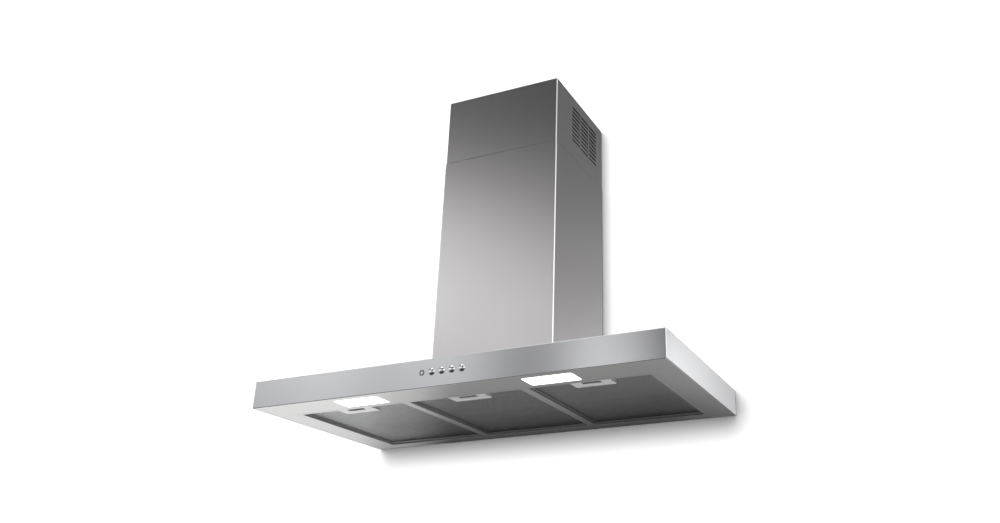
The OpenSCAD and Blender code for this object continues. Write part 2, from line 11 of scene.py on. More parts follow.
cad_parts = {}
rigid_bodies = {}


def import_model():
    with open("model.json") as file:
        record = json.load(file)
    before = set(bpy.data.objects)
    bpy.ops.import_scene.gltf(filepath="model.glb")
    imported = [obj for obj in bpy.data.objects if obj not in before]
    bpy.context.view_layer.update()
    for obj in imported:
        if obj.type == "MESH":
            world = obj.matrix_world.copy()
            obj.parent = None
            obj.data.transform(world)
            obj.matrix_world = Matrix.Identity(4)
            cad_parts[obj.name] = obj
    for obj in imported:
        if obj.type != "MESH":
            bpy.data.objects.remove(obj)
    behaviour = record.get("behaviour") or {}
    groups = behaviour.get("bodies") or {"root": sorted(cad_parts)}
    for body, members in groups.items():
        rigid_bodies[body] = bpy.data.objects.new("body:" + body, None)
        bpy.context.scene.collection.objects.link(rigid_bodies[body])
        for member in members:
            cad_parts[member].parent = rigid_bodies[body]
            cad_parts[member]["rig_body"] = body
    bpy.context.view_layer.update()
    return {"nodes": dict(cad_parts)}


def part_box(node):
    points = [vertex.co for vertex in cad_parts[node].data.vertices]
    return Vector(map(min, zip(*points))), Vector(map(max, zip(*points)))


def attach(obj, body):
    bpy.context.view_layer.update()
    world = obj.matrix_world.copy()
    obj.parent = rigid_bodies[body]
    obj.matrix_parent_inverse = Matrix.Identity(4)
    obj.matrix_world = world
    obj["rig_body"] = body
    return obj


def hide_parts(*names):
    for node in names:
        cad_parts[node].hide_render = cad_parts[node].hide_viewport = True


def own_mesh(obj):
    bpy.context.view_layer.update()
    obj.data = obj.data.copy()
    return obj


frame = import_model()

MM = 0.001
SIDES = {"left": -1, "middle": 0, "right": 1}
DOWN = Vector((0, 0, -1))
UP = Vector((0, 0, 1))
FRONT = Vector((0, -1, 0))


def box(node):
    """Low and high corner of a CAD node, in millimetres."""
    low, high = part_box(node)
    return [c / MM for c in low], [c / MM for c in high]


def body_of(node):
    """Name of the body that a CAD node rides on."""
    return frame["nodes"][node]["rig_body"]


# ---------------------------------------------------------------- paths and fills

def rounded(points, radius, closed=True, steps=4):
    """Path through the points with each corner turned on an arc."""
    path = []
    for i, point in enumerate(points):
        here = Vector(point)
        if not closed and i in (0, len(points) - 1):
            path.append(here)
            continue
        before = (here - Vector(points[i - 1])).normalized()
        after = (Vector(points[(i + 1) % len(points)]) - here).normalized()
        turn = math.atan2(before.x * after.y - before.y * after.x, before.dot(after))
        reach = radius * math.tan(abs(turn) / 2)
        start = here - before * reach
        inward = Vector((-before.y, before.x)) * math.copysign(radius, turn)
        centre = start + inward
        for k in range(steps + 1):
            angle = turn * k / steps
            arm = start - centre
            path.append(centre + Vector((
                arm.x * math.cos(angle) - arm.y * math.sin(angle),
                arm.x * math.sin(angle) + arm.y * math.cos(angle))))
    return path


def rectangle(low, high):
    """Corners of a rectangle, anticlockwise."""
    return [(low[0], low[1]), (high[0], low[1]), (high[0], high[1]), (low[0], high[1])]


def circle(centre, radius, steps=40):
    """Points of a circle, anticlockwise."""
    return [Vector(centre) + radius * Vector((math.cos(a), math.sin(a)))
            for a in (2 * math.pi * k / steps for k in range(steps))]


def offset(path, distance, closed=True):
    """Path moved to the left of its direction by a distance, with mitred corners."""
    moved = []
    count = len(path)
    for i, here in enumerate(path):
        normals = []
        if closed or i > 0:
            run = (here - path[i - 1]).normalized()
            normals.append(Vector((-run.y, run.x)))
        if closed or i < count - 1:
            run = (path[(i + 1) % count] - here).normalized()
            normals.append(Vector((-run.y, run.x)))
        if len(normals) == 1:
            moved.append(here + normals[0] * distance)
        else:
            total = normals[0] + normals[1]
            moved.append(here + total * (distance / (1 + normals[0].dot(normals[1]))))
    return moved


def lengths(path, closed=False):
    """Distance along a path at each of its points, and at its end if it closes."""
    run = [0.0]
    ends = list(path) + ([path[0]] if closed else [])
    for a, b in zip(ends, ends[1:]):
        run.append(run[-1] + (Vector(b) - Vector(a)).length)
    return run


def station(path, point):
    """Distance along a path at its nearest point to the given one."""
    run = lengths(path)
    best = (1e9, 0.0)
    for i in range(len(path) - 1):
        near, share = intersect_point_line(Vector(point), path[i], path[i + 1])
        share = max(0.0, min(1.0, share))
        near = path[i].lerp(path[i + 1], share).to_2d()
        best = min(best, ((near - Vector(point)).length, run[i] + share * (run[i + 1] - run[i])))
    return best[1]


def inside(point, loop):
    """Whether a point is inside a closed loop."""
    hit = False
    for a, b in zip(loop, list(loop[1:]) + [loop[0]]):
        if (a[1] > point[1]) != (b[1] > point[1]):
            cross = a[0] + (point[1] - a[1]) * (b[0] - a[0]) / (b[1] - a[1])
            hit ^= point[0] < cross
    return hit


def fill(outline, holes=(), lines=()):
    """Triangles inside an outline, less the holes, cut along the lines."""
    points, edges = [], []
    for loop in [outline, *holes]:
        start = len(points)
        points += [Vector(p) for p in loop]
        edges += [(start + i, start + (i + 1) % len(loop)) for i in range(len(loop))]
    for a, b in lines:
        edges.append((len(points), len(points) + 1))
        points += [Vector(a), Vector(b)]
    made = delaunay_2d_cdt(points, edges, [], 1, 1e-5)
    coords, faces = made[0], made[2]
    kept = []
    for face in faces:
        middle = sum((coords[i] for i in face), Vector((0, 0))) / len(face)
        if inside(middle, outline) and not any(inside(middle, hole) for hole in holes):
            kept.append(face)
    return coords, kept


def plate(bm, outline, holes, place):
    """Flat sheet: place(u, v) gives each point in millimetres."""
    coords, faces = fill(outline, holes)
    used = sorted({i for face in faces for i in face})
    verts = {i: bm.verts.new(Vector(place(*coords[i])) * MM) for i in used}
    for face in faces:
        bm.faces.new([verts[i] for i in face])


def wall(bm, path, z0, z1, holes=(), closed=False):
    """Upright sheet that follows a path, with holes given as (distance along, height)."""
    run = lengths(path, closed)
    ends = list(path) + ([path[0]] if closed else [])
    outline = [(s, z0) for s in run] + [(s, z1) for s in reversed(run)]
    lines = [((s, z0), (s, z1)) for s in run[1:-1]]
    coords, faces = fill(outline, holes, lines)

    def place(s, z):
        k = 0
        while k < len(run) - 2 and s > run[k + 1] + 1e-6:
            k += 1
        share = (s - run[k]) / (run[k + 1] - run[k])
        flat = ends[k].lerp(ends[k + 1], share)
        return Vector((flat.x, flat.y, z)) * MM

    used = sorted({i for face in faces for i in face})
    verts = {i: bm.verts.new(place(*coords[i])) for i in used}
    for face in faces:
        bm.faces.new([verts[i] for i in face])


def loft(bm, loops, closed=True):
    """Skin through loops of points that match one to one."""
    rings = [[bm.verts.new(Vector(p) * MM) for p in loop] for loop in loops]
    count = len(rings[0])
    for low, high in zip(rings, rings[1:]):
        for i in range(count if closed else count - 1):
            j = (i + 1) % count
            bm.faces.new((low[i], low[j], high[j], high[i]))
    return rings


def lathe(bm, profile, origin, axis, steps=48):
    """Solid turned about an axis from (radius, distance along the axis) points, closed at r = 0."""
    turn = UP.rotation_difference(axis).to_matrix()
    rings = []
    for radius, along in profile:
        if radius < 1e-6:
            rings.append([bm.verts.new((Vector(origin) + turn @ Vector((0, 0, along))) * MM)])
            continue
        rings.append([bm.verts.new((Vector(origin) + turn @ Vector(
            (radius * math.cos(a), radius * math.sin(a), along))) * MM)
            for a in (2 * math.pi * k / steps for k in range(steps))])
    for low, high in zip(rings, rings[1:]):
        for i in range(steps):
            j = (i + 1) % steps
            ring = [low[i % len(low)], low[j % len(low)], high[j % len(high)], high[i % len(high)]]
            ring = list(dict.fromkeys(ring))
            if len(ring) > 2:
                bm.faces.new(ring)


# ---------------------------------------------------------------- pieces

def tidy(bm, outward=None, angle=0.05):
    """Joins matching points, faces everything outwards and merges coplanar triangles."""
    bmesh.ops.remove_doubles(bm, verts=bm.verts, dist=0.005 * MM)
    bmesh.ops.recalc_face_normals(bm, faces=bm.faces)
    if outward is not None:
        main = max(bm.faces, key=lambda f: f.calc_area() * abs(f.normal.dot(outward)))
        if main.normal.dot(outward) < 0:
            bmesh.ops.reverse_faces(bm, faces=bm.faces)
    bmesh.ops.dissolve_limit(bm, angle_limit=math.radians(angle), verts=bm.verts,
                             edges=bm.edges, delimit=set())


def piece(name, bm, nodes, material, edge=0.25, thickness=0.0, segments=2, body=None):
    """Object made from a bmesh, thickened and with its edges eased, in place of CAD nodes."""
    mesh = bpy.data.meshes.new(name)
    bm.to_mesh(mesh)
    bm.free()
    obj = bpy.data.objects.new(name, mesh)
    bpy.context.scene.collection.objects.link(obj)
    if thickness:
        solid = obj.modifiers.new("sheet", "SOLIDIFY")
        solid.thickness = thickness * MM
        solid.offset = -1
        solid.use_even_offset = True
    if edge:
        ease = obj.modifiers.new("edges", "BEVEL")
        ease.width = edge * MM
        ease.segments = segments
        ease.limit_method = "ANGLE"
        ease.angle_limit = math.radians(42)
    done = bpy.data.meshes.new_from_object(
        obj.evaluated_get(bpy.context.evaluated_depsgraph_get()))
    obj.modifiers.clear()
    obj.data = done
    bpy.data.meshes.remove(mesh)
    done.name = name
    done.shade_smooth()
    done.set_sharp_from_angle(angle=math.radians(48))
    flat = obj.modifiers.new("flats", "WEIGHTED_NORMAL")
    flat.keep_sharp = True
    done.materials.clear()
    done.materials.append(material)
    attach(obj, body or body_of(nodes[0]))
    if nodes:
        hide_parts(*nodes)
    return obj


def refine(node, material, edge=0.3, segments=2):
    """A CAD node's own shape with clean faces and eased edges."""
    bm = bmesh.new()
    bm.from_mesh(frame["nodes"][node].data)
    tidy(bm, angle=0.4)
    piece(node + "_finished", bm, [node], material, edge, segments=segments)


# ---------------------------------------------------------------- materials

def add(tree, kind, inputs=None, **settings):
    """Shader node with its settings, and inputs that are values or other sockets."""
    node = tree.nodes.new("ShaderNode" + kind)
    for name, value in settings.items():
        setattr(node, name, value)
    for name, value in (inputs or {}).items():
        if isinstance(value, bpy.types.NodeSocket):
            tree.links.new(value, node.inputs[name])
        else:
            node.inputs[name].default_value = value
    return node


def remap(tree, value, low, high, to_low, to_high):
    """Value mapped from one range to another and clamped."""
    return add(tree, "MapRange", {"Value": value, "From Min": low, "From Max": high,
                                  "To Min": to_low, "To Max": to_high}).outputs["Result"]


def tint(colour, share):
    """Colour made lighter or darker, with alpha."""
    return (*[min(1.0, c * share) for c in colour], 1.0)


def noise(tree, scale, detail=3.0, rough=0.6):
    """Noise in the object's own space, stretched by a scale along each axis."""
    place = add(tree, "TexCoord").outputs["Object"]
    mapped = add(tree, "Mapping", {"Vector": place, "Scale": scale}).outputs["Vector"]
    return add(tree, "TexNoise", {"Vector": mapped, "Scale": 1.0, "Detail": detail,
                                  "Roughness": rough}).outputs["Fac"]


def finish(name, colour, rough, fine, metallic=1.0, vary=0.05, rough_vary=0.04, bump=0.1,
           bump_size=0.00005, patch=9.0, anisotropic=0.0, tangent=None, pattern=None, **extra):
    """Procedural material: fine texture, large soft patches, and roughness and bump from both.

    fine is the stretch of the fine texture in cells per metre along x, y and z."""
    material = bpy.data.materials.new(name)
    material.use_nodes = True
    tree = material.node_tree
    tree.nodes.clear()
    texture = noise(tree, fine)
    patches = noise(tree, (patch, patch, patch), 4.0, 0.55)
    mixed = add(tree, "Mix", {"Factor": 0.35, "A": texture, "B": patches},
                data_type="FLOAT").outputs["Result"]
    if pattern:
        mixed = add(tree, "Mix", {"Factor": 0.6, "A": mixed, "B": pattern(tree)},
                    data_type="FLOAT").outputs["Result"]
    shade = add(tree, "ValToRGB", {"Fac": mixed})
    shade.color_ramp.elements[0].position = 0.3
    shade.color_ramp.elements[0].color = tint(colour, 1 - vary)
    shade.color_ramp.elements[1].position = 0.7
    shade.color_ramp.elements[1].color = tint(colour, 1 + vary)
    sockets = {"Base Color": shade.outputs["Color"], "Metallic": metallic,
               "Roughness": remap(tree, mixed, 0.3, 0.7, rough + rough_vary, rough - rough_vary),
               "Normal": add(tree, "Bump", {"Strength": bump, "Distance": bump_size,
                                            "Height": mixed}).outputs["Normal"]}
    if anisotropic:
        sockets["Anisotropic"] = anisotropic
        sockets["Tangent"] = add(tree, "Tangent", direction_type="RADIAL",
                                 axis=tangent).outputs["Tangent"]
    sockets.update(extra)
    shader = add(tree, "BsdfPrincipled", sockets)
    output = add(tree, "OutputMaterial")
    tree.links.new(shader.outputs["BSDF"], output.inputs["Surface"])
    return material


def spangle(tree):
    """Crystal pattern of hot-dip galvanised sheet."""
    place = add(tree, "TexCoord").outputs["Object"]
    cells = add(tree, "TexVoronoi", {"Vector": place, "Scale": 85.0, "Randomness": 1.0})
    return add(tree, "SeparateColor", {"Color": cells.outputs["Color"]}).outputs["Red"]


def tracks(tree):
    """Copper tracks under the solder mask of a circuit board."""
    place = add(tree, "TexCoord").outputs["Object"]
    cells = add(tree, "TexVoronoi", {"Vector": place, "Scale": 420.0, "Randomness": 0.15},
                distance="CHEBYCHEV", feature="F1")
    return add(tree, "Math", {0: cells.outputs["Distance"], 1: 0.42},
               operation="GREATER_THAN").outputs["Value"]


def prisms(tree):
    """Fine square prism pattern of a lamp diffuser."""
    place = add(tree, "TexCoord").outputs["Object"]
    return add(tree, "TexVoronoi", {"Vector": place, "Scale": 900.0, "Randomness": 0.0},
               distance="CHEBYCHEV", feature="F1").outputs["Distance"]


BRUSH = 2500.0
ALONG = 9.0

QUARTER = {"Anisotropic Rotation": 0.25}
STEEL_WIDE = finish("brushed_steel_level", (0.594, 0.602, 0.618), 0.20, (ALONG, ALONG, BRUSH), vary=0.012,
                    rough_vary=0.012, anisotropic=0.85, tangent="Z", bump=0.015, **QUARTER)
STEEL_UNDER = finish("brushed_steel_under", (0.605, 0.602, 0.597), 0.22, (ALONG, BRUSH, ALONG), vary=0.012,
                     rough_vary=0.012, anisotropic=0.7, tangent="Y", bump=0.015, **QUARTER)
STEEL_TALL = finish("brushed_steel_upright", (0.612, 0.600, 0.604), 0.24, (BRUSH, BRUSH, ALONG), vary=0.012,
                    rough_vary=0.012, anisotropic=0.75, tangent="Z", bump=0.012)
GALVANISED = finish("galvanised_sheet", (0.47, 0.485, 0.50), 0.42, (60, 60, 60), vary=0.16,
                    rough_vary=0.1, bump=0.15, pattern=spangle)
CHANNEL = finish("filter_channel_aluminium", (0.44, 0.45, 0.45), 0.30, (ALONG, 900, 900),
                 vary=0.06, bump=0.12)
MESH = finish("filter_mesh_aluminium", (0.54, 0.55, 0.545), 0.30, (300, 300, 300), vary=0.06,
              rough_vary=0.03, bump=0.15)
HANDLE = finish("handle_lacquer", (0.60, 0.61, 0.60), 0.38, (1500, 1500, 1500), metallic=0.55,
                vary=0.03, bump=0.12)
# The slider takes the handle's lacquer made much darker: painted shade for the finger recess it sits in.
SLIDER_PAINTED_SHADE = finish("slider_lacquer_painted_shade", (0.26, 0.26, 0.27), 0.42, (1500, 1500, 1500), metallic=0.55,
                vary=0.03, bump=0.12)
SPRING = finish("spring_steel", (0.50, 0.49, 0.47), 0.3, (900, 900, 900), vary=0.08)
LENS = finish("lamp_diffuser", (0.92, 0.92, 0.90), 0.4, (400, 400, 400), metallic=0.0, vary=0.02,
              bump=0.2, pattern=prisms,
              **{"Emission Color": (1.0, 1.0, 0.97, 1.0), "Emission Strength": 2.2})
TRAY = finish("lamp_tray_white", (0.80, 0.80, 0.79), 0.45, (700, 700, 700), metallic=0.0,
              vary=0.03, bump=0.1)
BOARD = finish("circuit_board", (0.02, 0.13, 0.06), 0.35, (500, 500, 500), metallic=0.0,
               vary=0.35, bump=0.3, pattern=tracks)
PLASTIC = finish("black_moulding", (0.012, 0.0125, 0.013), 0.55, (1800, 1800, 1800),
                 metallic=0.0, vary=0.25, rough_vary=0.07, bump=0.25)
CHROME = finish("bright_chrome", (0.82, 0.83, 0.84), 0.07, (60, 60, 60), vary=0.02,
                rough_vary=0.03, bump=0.02)
RING = finish("satin_ring", (0.22, 0.22, 0.23), 0.3, (60, 60, 60), vary=0.02, rough_vary=0.03,
              bump=0.02)
INDICATOR = finish("indicator_diffuser", (0.45, 0.46, 0.46), 0.3, (700, 700, 700), metallic=0.0,
                   vary=0.05)
MOTOR = finish("motor_casing", (0.34, 0.35, 0.36), 0.4, (500, 500, 500), vary=0.12,
               rough_vary=0.08, bump=0.2)
ZINC = finish("zinc_screws", (0.62, 0.62, 0.58), 0.25, (700, 700, 700), vary=0.08,
              rough_vary=0.06)
FLOOR = finish("studio_floor", (0.42, 0.42, 0.42), 0.75, (40, 40, 40), metallic=0.0, vary=0.01,
               bump=0.05)

# ---------------------------------------------------------------- canopy

SHEET = 1.0
SKIN = 0.8


def quarter(radius, steps=4):
    """(inset, rise) points of an edge that turns in on a quarter circle."""
    return [(radius * (1 - math.cos(a)), radius * math.sin(a))
            for a in (math.pi / 2 * k / steps for k in range(steps + 1))]


def canopy():
    """Front and ends bent from one sheet, welded to a roof with a soft rolled edge."""
    low, high = box("canopy_shell")
    roll, hem, corner, back_flange = 1.4, 1.05, 1.8, 9.0
    ring_hole, cap_gap = 5.0, 0.35
    outer = rounded([(low[0], high[1]), (low[0], low[1]), (high[0], low[1]), (high[0], high[1])],
                    corner, closed=False, steps=5)
    holes = []
    for name in ("button_light", "button_low", "button_medium", "button_high", "indicator_ring"):
        a, b = box(name)
        radius = ring_hole if name == "indicator_ring" else (b[0] - a[0]) / 2 + cap_gap
        along = station(outer, ((a[0] + b[0]) / 2, low[1]))
        holes.append(circle((along, (a[2] + b[2]) / 2), radius))
    bm = bmesh.new()
    top = high[2]
    wall(bm, outer, low[2] + hem, top - roll, holes)
    loft(bm, [[(p.x, p.y, low[2] + hem - rise) for p in offset(outer, inset, closed=False)]
              for inset, rise in quarter(hem)], closed=False)
    loops = [[(p.x, p.y, top - roll + rise) for p in offset(outer, inset, closed=False)]
             for inset, rise in quarter(roll)]
    loft(bm, loops, closed=False)
    chamber_low, chamber_high = box("blower_box")
    at_side, at_front, at_rear = 4, 14, 10
    opening = rectangle((chamber_low[0] + at_side, chamber_low[1] + at_front),
                        (chamber_high[0] - at_side, chamber_high[1] - at_rear))
    roof = [(p[0], p[1]) for p in loops[-1]]
    plate(bm, roof, [rounded(opening, 6)], lambda x, y: (x, y, top))
    left, right = roof[0], roof[-1]
    loft(bm, [[(x, y, z) for x, y in (left, right)] for z in (top, top - back_flange)],
         closed=False)
    tidy(bm, FRONT)
    piece("canopy", bm, ["canopy_shell"], STEEL_WIDE, 0.22, SHEET)


def underside():
    """Bottom sheet with a turned-up skirt, the filter opening and two lamp cut-outs."""
    low, high = box("bottom_panel")
    frame_low, frame_high = box("filter_frame")
    bend, frame_gap, lens_gap = 2.0, 0.4, 0.5
    outer = rounded(rectangle(low, high), 2.2, steps=4)
    bm = bmesh.new()
    loops = [[(p.x, p.y, high[2]) for p in outer]]
    loops += [[(p.x, p.y, low[2] + bend - rise) for p in offset(outer, inset)]
              for inset, rise in quarter(bend)]
    loft(bm, loops)
    flat = [(p[0], p[1]) for p in loops[-1]]
    holes = [rounded(rectangle((frame_low[0] - frame_gap, frame_low[1] - frame_gap),
                               (frame_high[0] + frame_gap, frame_high[1] + frame_gap)), 2.0)]
    for side in ("left", "right"):
        a, b = box("lamp_lens_" + side)
        holes.append(rounded(rectangle((a[0] - lens_gap, a[1] - lens_gap),
                                       (b[0] + lens_gap, b[1] + lens_gap)), 5.5))
    plate(bm, flat, holes, lambda x, y: (x, y, low[2]))
    tidy(bm, DOWN)
    piece("underside", bm, ["bottom_panel"], STEEL_UNDER, 0.22, SHEET)


def ledge():
    """Filter frame: a flat ledge whose three bays are turned up into walls with pivot holes."""
    low, high = box("filter_frame")
    bend, half_bay, front_bar, rear_bar, barrel, pin_hole = 1.2, 124.25, 8.6, 10.6, 5.0, 2.06
    bm = bmesh.new()
    bays = []
    for name in SIDES:
        rim_low, rim_high = box("filter_rim_" + name)
        middle = (rim_low[0] + rim_high[0]) / 2
        barrel_y, barrel_z = rim_high[1] - barrel, rim_low[2] + barrel
        bay = rectangle((middle - half_bay, low[1] + front_bar),
                        (middle + half_bay, high[1] - rear_bar))
        inner = rounded(bay, 2.0, steps=4)
        loops = []
        for k in range(5):
            a = math.pi / 2 * k / 4
            loops.append([(p.x, p.y, low[2] + bend - bend * math.cos(a))
                          for p in offset(inner, -bend * (1 - math.sin(a)))])
        loft(bm, loops)
        bays.append([(p[0], p[1]) for p in loops[0]])
        ring = list(inner) + [inner[0]]
        holes = [circle((station(ring, (middle + side * half_bay, barrel_y)), barrel_z),
                        pin_hole, 20) for side in (-1, 1)]
        wall(bm, inner, low[2] + bend, high[2], holes, closed=True)
    outline = rounded(rectangle(low, high), 1.6)
    plate(bm, outline, bays, lambda x, y: (x, y, low[2]))
    tidy(bm, DOWN)
    piece("filter_ledge", bm, ["filter_frame"], STEEL_UNDER, 0.2, SHEET)


# ---------------------------------------------------------------- chimney

def cover(name, node, material, bend, holes_at):
    """Chimney cover: front and sides bent from one sheet, with a flange on each side at the wall."""
    low, high = box(node)
    flange = 11.0
    path = rounded([(low[0] + flange, high[1]), (low[0], high[1]), (low[0], low[1]),
                    (high[0], low[1]), (high[0], high[1]), (high[0] - flange, high[1])],
                   bend, closed=False, steps=6)
    bm = bmesh.new()
    wall(bm, path, low[2], high[2], holes_at(path, low, high))
    tidy(bm, FRONT)
    piece(name, bm, [node], material, 0.2, SKIN)


def corner_notches(path, low, high):
    """Small cuts at the top front corners of the lower cover, where the upper one slides."""
    across, back, down, above = 1.6, 4.0, 12.0, 5.0
    holes = []
    for x in (low[0], high[0]):
        a = station(path, (x - math.copysign(across, x), low[1]))
        b = station(path, (x, low[1] + back))
        holes.append(rectangle((min(a, b), high[2] - down), (max(a, b), high[2] + above)))
    return holes


def grille(path, low, high):
    """Three columns of nine slots on each side of the upper cover."""
    rows, columns, length, height = 9, 3, 45.6, 5.3
    row_pitch, column_pitch = 10.7, 49.5
    centre_y, centre_z = -108.0, high[2] - 71.8
    holes = []
    for x in (low[0], high[0]):
        for c in range(columns):
            for r in range(rows):
                s = station(path, (x, centre_y + (c - 1) * column_pitch))
                z = centre_z + (r - (rows - 1) / 2) * row_pitch
                holes.append(rounded(rectangle((s - length / 2, z - height / 2),
                                               (s + length / 2, z + height / 2)), 1.6, steps=3))
    return holes


def seam_shade_strips():
    """Black strips that line the gap between the covers and stand just proud of the lower one: painted
    shade for the dark line at the seam.
    """
    low, high = box("lower_chimney")
    inner, outer, foot, rise, clear = 0.86, 1.14, 10.0, 1.5, 5.0
    runs = [((low[0] + clear, low[1]), (high[0] - clear, low[1])),
            ((high[0], low[1] + clear), (high[0], high[1] - clear)),
            ((low[0], high[1] - clear), (low[0], low[1] + clear))]
    bm = bmesh.new()
    for ends in runs:
        path = [Vector(end) for end in ends]
        loft(bm, [[(p.x, p.y, z) for p in offset(path, inset, closed=False)]
                  for inset, z in ((inner, high[2] - foot), (inner, high[2] + rise),
                                   (outer, high[2] + rise), (outer, high[2] - foot),
                                   (inner, high[2] - foot))], closed=False)
    tidy(bm)
    # The strips' black is painted shade for the seam line between the covers.
    piece("seam_shade_strips", bm, [], PLASTIC, 0.0, body=body_of("lower_chimney"))


# ---------------------------------------------------------------- filters

def diamonds(bm, low, high, z, cell, strand, skip=None):
    """Expanded mesh: slit and stretched sheet, its strands tilted out of plane at each bond."""
    across, deep = cell
    columns = int((high[0] - low[0]) / across)
    rows = int((high[1] - low[1]) / deep)
    across = (high[0] - low[0]) / columns
    deep = (high[1] - low[1]) / rows
    lift = 0.22
    verts = {}

    def vert(i, j):
        if (i, j) not in verts:
            x = low[0] + i * across / 2
            y = low[1] + j * deep / 2
            verts[i, j] = bm.verts.new(Vector((x, y, z + (lift if j % 2 else -lift))) * MM)
        return verts[i, j]

    faces = []
    for i in range(2 * columns - 1):
        for j in range(2 * rows - 1):
            if (i + j) % 2:
                continue
            x = low[0] + (i + 1) * across / 2
            y = low[1] + (j + 1) * deep / 2
            if skip and skip[0] < x < skip[1] and y < skip[2]:
                continue
            faces.append(bm.faces.new((vert(i, j + 1), vert(i + 1, j), vert(i + 2, j + 1),
                                       vert(i + 1, j + 2))))
    bmesh.ops.wireframe(bm, faces=faces, thickness=strand * MM, offset=0.0, use_replace=True,
                        use_boundary=True, use_even_offset=True, use_relative_offset=False)


def filter_pack(name):
    """Two outer layers of expanded mesh with a coarser layer between them."""
    node = "filter_mesh_" + name
    low, high = box(node)
    handle_low, handle_high = box("filter_handle_" + name)
    beside, behind, inset = 4.0, 3.0, 1
    skip = (handle_low[0] - beside, handle_high[0] + beside, handle_high[1] + behind)
    bm = bmesh.new()
    inner_low, inner_high = [low[0] + inset, low[1] + inset], [high[0] - inset, high[1] - inset]
    diamonds(bm, inner_low, inner_high, low[2] + 0.5, (7.0, 4.2), 0.75, skip)
    diamonds(bm, inner_low, inner_high, high[2] - 0.5, (7.0, 4.2), 0.75, skip)
    diamonds(bm, inner_low, inner_high, (low[2] + high[2]) / 2, (10.0, 6.0), 1.2, skip)
    piece("mesh_pack_" + name, bm, [node], MESH, 0.0)


def filter_channel(name):
    """Folded channel round the pack, rolled over at the back and hung on two pins."""
    node = "filter_rim_" + name
    low, high = box(node)
    handle_low, handle_high = box("filter_handle_" + name)
    left, right = low[0] + 3.0, high[0] - 3.0
    front, barrel = low[1], 5.0
    back = high[1] - barrel
    axis_z = low[2] + barrel
    z0, z1 = low[2] + 0.3, high[2] - 0.7
    bend, lip = 1.0, 5.0
    gap, roll_lip, roll_neck = 0.3, 7.0, 3.0
    bm = bmesh.new()
    for side, x, inner in ((-1, left, handle_low[0] - gap), (1, right, handle_high[0] + gap)):
        path = [(inner, front), (x, front), (x, back)]
        path = rounded(path, 1.6, closed=False, steps=3)
        profile = [(lip, z0), (bend, z0), (bend * 0.3, z0 + bend * 0.3), (0, z0 + bend),
                   (0, z1 - bend), (bend * 0.3, z1 - bend * 0.3), (bend, z1), (lip, z1)]
        loft(bm, [[(p.x, p.y, z) for p in offset(path, side * inset, closed=False)]
                  for inset, z in profile], closed=False)
    roll = [(back - roll_lip, z0), (back - roll_neck, z0)]
    roll += [(back + barrel * math.sin(a), axis_z - barrel * math.cos(a))
             for a in (math.pi * k / 12 for k in range(13))]
    roll += [(back - roll_neck, z1), (back - roll_lip, z1)]
    loft(bm, [[(x, y, z) for y, z in roll] for x in (left + 0.5, right - 0.5)], closed=False)
    tidy(bm, DOWN)
    piece("filter_channel_" + name, bm, [node], CHANNEL, 0.12, 0.7)
    pins = bmesh.new()
    for side, x in ((-1, left), (1, right)):
        lathe(pins, [(0, 0), (1.6, 0), (2.0, 0.4), (2.0, 3.2), (4.0, 3.3), (4.0, 4.4), (0, 4.4)],
              (x + side * 3.0, back, axis_z), Vector((-side, 0, 0)), 24)
    tidy(pins)
    piece("pivot_pins_" + name, pins, [], CHANNEL, 0.0, body=body_of(node))


def coil(name):
    """Compression spring between the slider and the end of its pocket."""
    node = "latch_spring_" + name
    low, high = box(node)
    x, z = (low[0] + high[0]) / 2, (low[2] + high[2]) / 2
    wire = 0.32
    radius = (high[0] - low[0]) / 2 - wire
    turns, per_turn, sides = 7, 20, 8
    bm = bmesh.new()
    rings = []
    count = turns * per_turn
    span = high[1] - low[1] - 2 * wire
    for k in range(count + 1):
        share = k / count
        closing = 0.5 - 0.5 * math.cos(math.pi * min(1, max(0, (share - 0.08) / 0.84)))
        rise = 0.55 * share + 0.45 * closing
        angle = 2 * math.pi * k / per_turn
        out = Vector((math.cos(angle), 0, math.sin(angle)))
        centre = Vector((x, low[1] + wire + span * rise, z)) + out * radius
        rings.append([centre + out * (wire * math.cos(b)) + Vector((0, wire * math.sin(b), 0))
                      for b in (2 * math.pi * m / sides for m in range(sides))])
    made = loft(bm, rings)
    bm.faces.new(made[0])
    bm.faces.new(made[-1])
    tidy(bm)
    obj = piece("coil_spring_" + name, bm, [node], SPRING, 0.0)
    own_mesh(obj)


# ---------------------------------------------------------------- lamps and controls

def lens(name):
    """Flush lens with a soft edge."""
    node = "lamp_lens_" + name
    low, high = box(node)
    ease = 0.7
    bm = bmesh.new()
    outer = rounded(rectangle(low, high), 5.0, steps=6)
    loops = [[(p.x, p.y, high[2]) for p in outer]]
    loops += [[(p.x, p.y, low[2] + ease - rise) for p in offset(outer, inset)]
              for inset, rise in quarter(ease, 3)]
    rings = loft(bm, loops)
    bm.faces.new(rings[0])
    bm.faces.new(rings[-1])
    tidy(bm)
    piece("lens_" + name, bm, [node], LENS, 0.0)


def button(name):
    """Domed cap with a rolled rim on a plain stem."""
    node = "button_" + name
    low, high = box(node)
    x, z = (low[0] + high[0]) / 2, (low[2] + high[2]) / 2
    radius, dome, rim = (high[0] - low[0]) / 2, 2.2, 0.5
    depth, cap = high[1] - low[1], 5.7
    curve = (radius * radius + dome * dome) / (2 * dome)
    reach = radius - rim
    profile = [(reach * k / 10, curve - math.sqrt(curve ** 2 - (reach * k / 10) ** 2))
               for k in range(11)]
    edge = profile[-1][1]
    profile += [(reach + rim * math.sin(a), edge + rim * (1 - math.cos(a)) + 0.15 * math.sin(a))
                for a in (math.pi / 2 * k / 4 for k in range(1, 5))]
    profile += [(radius, cap - 0.3), (radius - 0.3, cap), (2.6, cap), (2.5, cap + 0.1),
                (2.5, depth - 0.3), (2.2, depth), (0, depth)]
    bm = bmesh.new()
    lathe(bm, profile, (x, low[1], z), Vector((0, 1, 0)), 56)
    tidy(bm)
    piece("push_" + name, bm, [node], CHROME, 0.0)


